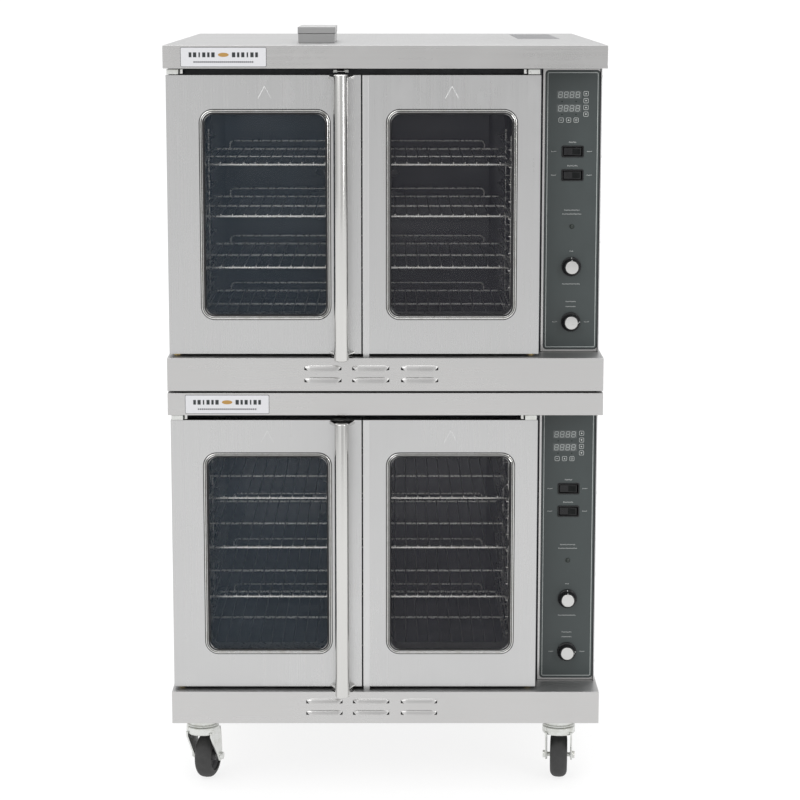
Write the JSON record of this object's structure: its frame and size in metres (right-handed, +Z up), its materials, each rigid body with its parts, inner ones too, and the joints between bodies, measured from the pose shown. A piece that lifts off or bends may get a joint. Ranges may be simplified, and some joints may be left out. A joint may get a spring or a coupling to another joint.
{
  "type": "double-stack convection oven",
  "caption": "Stacked commercial convection oven on swivel casters, with glazed linked doors, wire racks, blower fans and side controls.",
  "frame": {"origin": "on the floor, under the middle of the oven's box", "axes": "+Z up, -Y out of the doors, +X towards the control panel"},
  "size_m": [0.972, 1.1508, 1.7299],
  "materials": {
    "brushed_stainless": "fine brushed grain, satin",
    "bright_stainless": "long polished grain",
    "dark_enamel": "glossy porcelain enamel",
    "wire_chrome": "nickel-chrome plated wire",
    "oven_glass": "tinted heat-resistant glass",
    "slate_panel": "satin overlay",
    "black_plastic": "moulded, satin",
    "aluminised_steel": "dull aluminised",
    "cast_motor": "painted casting",
    "zinc_plate": "bright zinc plating",
    "wheel_rubber": "matt, lightly scuffed",
    "spacer_black": "matt"
  },
  "bodies": {
    "oven": {"lower_top_cover": "brushed_stainless", "lower_body_shell": "brushed_stainless", "lower_base_pan": "brushed_stainless", "lower_cavity_liner": "dark_enamel", "lower_control_panel": "slate_panel", "lower_rack_guide_left": "wire_chrome", "lower_rack_guide_right": "wire_chrome", "lower_fan_baffle": "dark_enamel", "lower_fan_motor": "cast_motor", "upper_top_cover": "brushed_stainless", "upper_body_shell": "brushed_stainless", "upper_base_pan": "brushed_stainless", "upper_cavity_liner": "dark_enamel", "upper_control_panel": "slate_panel", "upper_rack_guide_left": "wire_chrome", "upper_rack_guide_right": "wire_chrome", "upper_fan_baffle": "dark_enamel", "upper_fan_motor": "cast_motor", "stacking_spacer": "spacer_black", "flue_vent": "brushed_stainless", "caster_plate_front_left": "zinc_plate", "caster_plate_front_right": "zinc_plate", "caster_plate_rear_left": "zinc_plate", "caster_plate_rear_right": "zinc_plate"},
    "lower_left_door": {"lower_left_door": "brushed_stainless", "lower_left_window": "oven_glass", "lower_door_handle": "bright_stainless"},
    "lower_right_door": {"lower_right_door": "brushed_stainless", "lower_right_window": "oven_glass"},
    "lower_fan": {"lower_fan_wheel": "aluminised_steel"},
    "lower_rack_1": {"lower_rack_1": "wire_chrome"},
    "lower_rack_2": {"lower_rack_2": "wire_chrome"},
    "lower_rack_3": {"lower_rack_3": "wire_chrome"},
    "lower_rack_4": {"lower_rack_4": "wire_chrome"},
    "lower_thermostat_knob": {"lower_thermostat_knob": "black_plastic"},
    "lower_power_knob": {"lower_power_knob": "black_plastic"},
    "lower_fan_switch": {"lower_fan_switch": "black_plastic"},
    "lower_light_switch": {"lower_light_switch": "black_plastic"},
    "upper_left_door": {"upper_left_door": "brushed_stainless", "upper_left_window": "oven_glass", "upper_door_handle": "bright_stainless"},
    "upper_right_door": {"upper_right_door": "brushed_stainless", "upper_right_window": "oven_glass"},
    "upper_fan": {"upper_fan_wheel": "aluminised_steel"},
    "upper_rack_1": {"upper_rack_1": "wire_chrome"},
    "upper_rack_2": {"upper_rack_2": "wire_chrome"},
    "upper_rack_3": {"upper_rack_3": "wire_chrome"},
    "upper_rack_4": {"upper_rack_4": "wire_chrome"},
    "upper_thermostat_knob": {"upper_thermostat_knob": "black_plastic"},
    "upper_power_knob": {"upper_power_knob": "black_plastic"},
    "upper_fan_switch": {"upper_fan_switch": "black_plastic"},
    "upper_light_switch": {"upper_light_switch": "black_plastic"},
    "fork_front_left": {"caster_fork_front_left": "zinc_plate"},
    "wheel_front_left": {"caster_wheel_front_left": "wheel_rubber"},
    "fork_front_right": {"caster_fork_front_right": "zinc_plate"},
    "wheel_front_right": {"caster_wheel_front_right": "wheel_rubber"},
    "fork_rear_left": {"caster_fork_rear_left": "zinc_plate"},
    "wheel_rear_left": {"caster_wheel_rear_left": "wheel_rubber"},
    "fork_rear_right": {"caster_fork_rear_right": "zinc_plate"},
    "wheel_rear_right": {"caster_wheel_rear_right": "wheel_rubber"}
  },
  "joints": [
    {"name": "lower_left_door_hinge", "type": "hinge", "parent": "oven", "child": "lower_left_door", "pos_m": [-0.465, -0.471, 0.552], "axis": [0, 0, -1], "range_deg": [0, 130]},
    {"name": "lower_right_door_hinge", "type": "hinge", "parent": "oven", "child": "lower_right_door", "pos_m": [0.325, -0.471, 0.552], "axis": [0, 0, 1], "range_deg": [0, 130]},
    {"name": "lower_fan_spin", "type": "hinge", "parent": "oven", "child": "lower_fan", "pos_m": [-0.07, 0.2355, 0.541], "axis": [0, 1, 0], "continuous": true},
    {"name": "lower_rack_1_slide", "type": "slide", "parent": "oven", "child": "lower_rack_1", "axis": [0, -1, 0], "range_m": [-0.02, 0.045]},
    {"name": "lower_rack_2_slide", "type": "slide", "parent": "oven", "child": "lower_rack_2", "axis": [0, -1, 0], "range_m": [-0.02, 0.045]},
    {"name": "lower_rack_3_slide", "type": "slide", "parent": "oven", "child": "lower_rack_3", "axis": [0, -1, 0], "range_m": [-0.02, 0.045]},
    {"name": "lower_rack_4_slide", "type": "slide", "parent": "oven", "child": "lower_rack_4", "axis": [0, -1, 0], "range_m": [-0.02, 0.045]},
    {"name": "lower_thermostat_knob_turn", "type": "hinge", "parent": "oven", "child": "lower_thermostat_knob", "pos_m": [0.4185, -0.4245, 0.4296], "axis": [0, 1, 0], "range_deg": [0, 300]},
    {"name": "lower_power_knob_turn", "type": "hinge", "parent": "oven", "child": "lower_power_knob", "pos_m": [0.4185, -0.4245, 0.3042], "axis": [0, -1, 0], "range_deg": [0, 180]},
    {"name": "lower_fan_switch_rock", "type": "hinge", "parent": "oven", "child": "lower_fan_switch", "pos_m": [0.4185, -0.4225, 0.6879], "axis": [0, 0, 1], "range_deg": [0, 14]},
    {"name": "lower_light_switch_rock", "type": "hinge", "parent": "oven", "child": "lower_light_switch", "pos_m": [0.4185, -0.4225, 0.6352], "axis": [0, 0, 1], "range_deg": [0, 14]},
    {"name": "upper_left_door_hinge", "type": "hinge", "parent": "oven", "child": "upper_left_door", "pos_m": [-0.465, -0.471, 1.3202], "axis": [0, 0, -1], "range_deg": [0, 130]},
    {"name": "upper_right_door_hinge", "type": "hinge", "parent": "oven", "child": "upper_right_door", "pos_m": [0.325, -0.471, 1.3202], "axis": [0, 0, 1], "range_deg": [0, 130]},
    {"name": "upper_fan_spin", "type": "hinge", "parent": "oven", "child": "upper_fan", "pos_m": [-0.07, 0.2355, 1.3092], "axis": [0, 1, 0], "continuous": true},
    {"name": "upper_rack_1_slide", "type": "slide", "parent": "oven", "child": "upper_rack_1", "axis": [0, -1, 0], "range_m": [-0.02, 0.045]},
    {"name": "upper_rack_2_slide", "type": "slide", "parent": "oven", "child": "upper_rack_2", "axis": [0, -1, 0], "range_m": [-0.02, 0.045]},
    {"name": "upper_rack_3_slide", "type": "slide", "parent": "oven", "child": "upper_rack_3", "axis": [0, -1, 0], "range_m": [-0.02, 0.045]},
    {"name": "upper_rack_4_slide", "type": "slide", "parent": "oven", "child": "upper_rack_4", "axis": [0, -1, 0], "range_m": [-0.02, 0.045]},
    {"name": "upper_thermostat_knob_turn", "type": "hinge", "parent": "oven", "child": "upper_thermostat_knob", "pos_m": [0.4185, -0.4245, 1.1978], "axis": [0, 1, 0], "range_deg": [0, 300]},
    {"name": "upper_power_knob_turn", "type": "hinge", "parent": "oven", "child": "upper_power_knob", "pos_m": [0.4185, -0.4245, 1.0724], "axis": [0, -1, 0], "range_deg": [0, 180]},
    {"name": "upper_fan_switch_rock", "type": "hinge", "parent": "oven", "child": "upper_fan_switch", "pos_m": [0.4185, -0.4225, 1.4561], "axis": [0, 0, 1], "range_deg": [0, 14]},
    {"name": "upper_light_switch_rock", "type": "hinge", "parent": "oven", "child": "upper_light_switch", "pos_m": [0.4185, -0.4225, 1.4034], "axis": [0, 0, 1], "range_deg": [0, 14]},
    {"name": "swivel_front_left", "type": "hinge", "parent": "oven", "child": "fork_front_left", "pos_m": [-0.4225, -0.4445, 0.15], "axis": [0, 0, 1], "continuous": true},
    {"name": "roll_front_left", "type": "hinge", "parent": "fork_front_left", "child": "wheel_front_left", "pos_m": [-0.41344, -0.41069, 0.0525], "axis": [0.9659, -0.2588, 0], "continuous": true},
    {"name": "swivel_front_right", "type": "hinge", "parent": "oven", "child": "fork_front_right", "pos_m": [0.401, -0.4445, 0.15], "axis": [0, 0, 1], "continuous": true},
    {"name": "roll_front_right", "type": "hinge", "parent": "fork_front_right", "child": "wheel_front_right", "pos_m": [0.40405, -0.40963, 0.0525], "axis": [0.9962, -0.0872, 0], "continuous": true},
    {"name": "swivel_rear_left", "type": "hinge", "parent": "oven", "child": "fork_rear_left", "pos_m": [-0.4225, 0.4505, 0.15], "axis": [0, 0, 1], "continuous": true},
    {"name": "roll_rear_left", "type": "hinge", "parent": "fork_rear_left", "child": "wheel_rear_left", "pos_m": [-0.42737, 0.48516, 0.0525], "axis": [0.9903, 0.1392, 0], "continuous": true},
    {"name": "swivel_rear_right", "type": "hinge", "parent": "oven", "child": "fork_rear_right", "pos_m": [0.401, 0.4505, 0.15], "axis": [0, 0, 1], "continuous": true},
    {"name": "roll_rear_right", "type": "hinge", "parent": "fork_rear_right", "child": "wheel_rear_right", "pos_m": [0.40828, 0.48474, 0.0525], "axis": [0.9781, -0.2079, 0], "continuous": true}
  ],
  "couplings": [
    {"joint": "lower_right_door_hinge", "follows": "lower_left_door_hinge", "ratio": 1},
    {"joint": "upper_right_door_hinge", "follows": "upper_left_door_hinge", "ratio": 1}
  ]
}
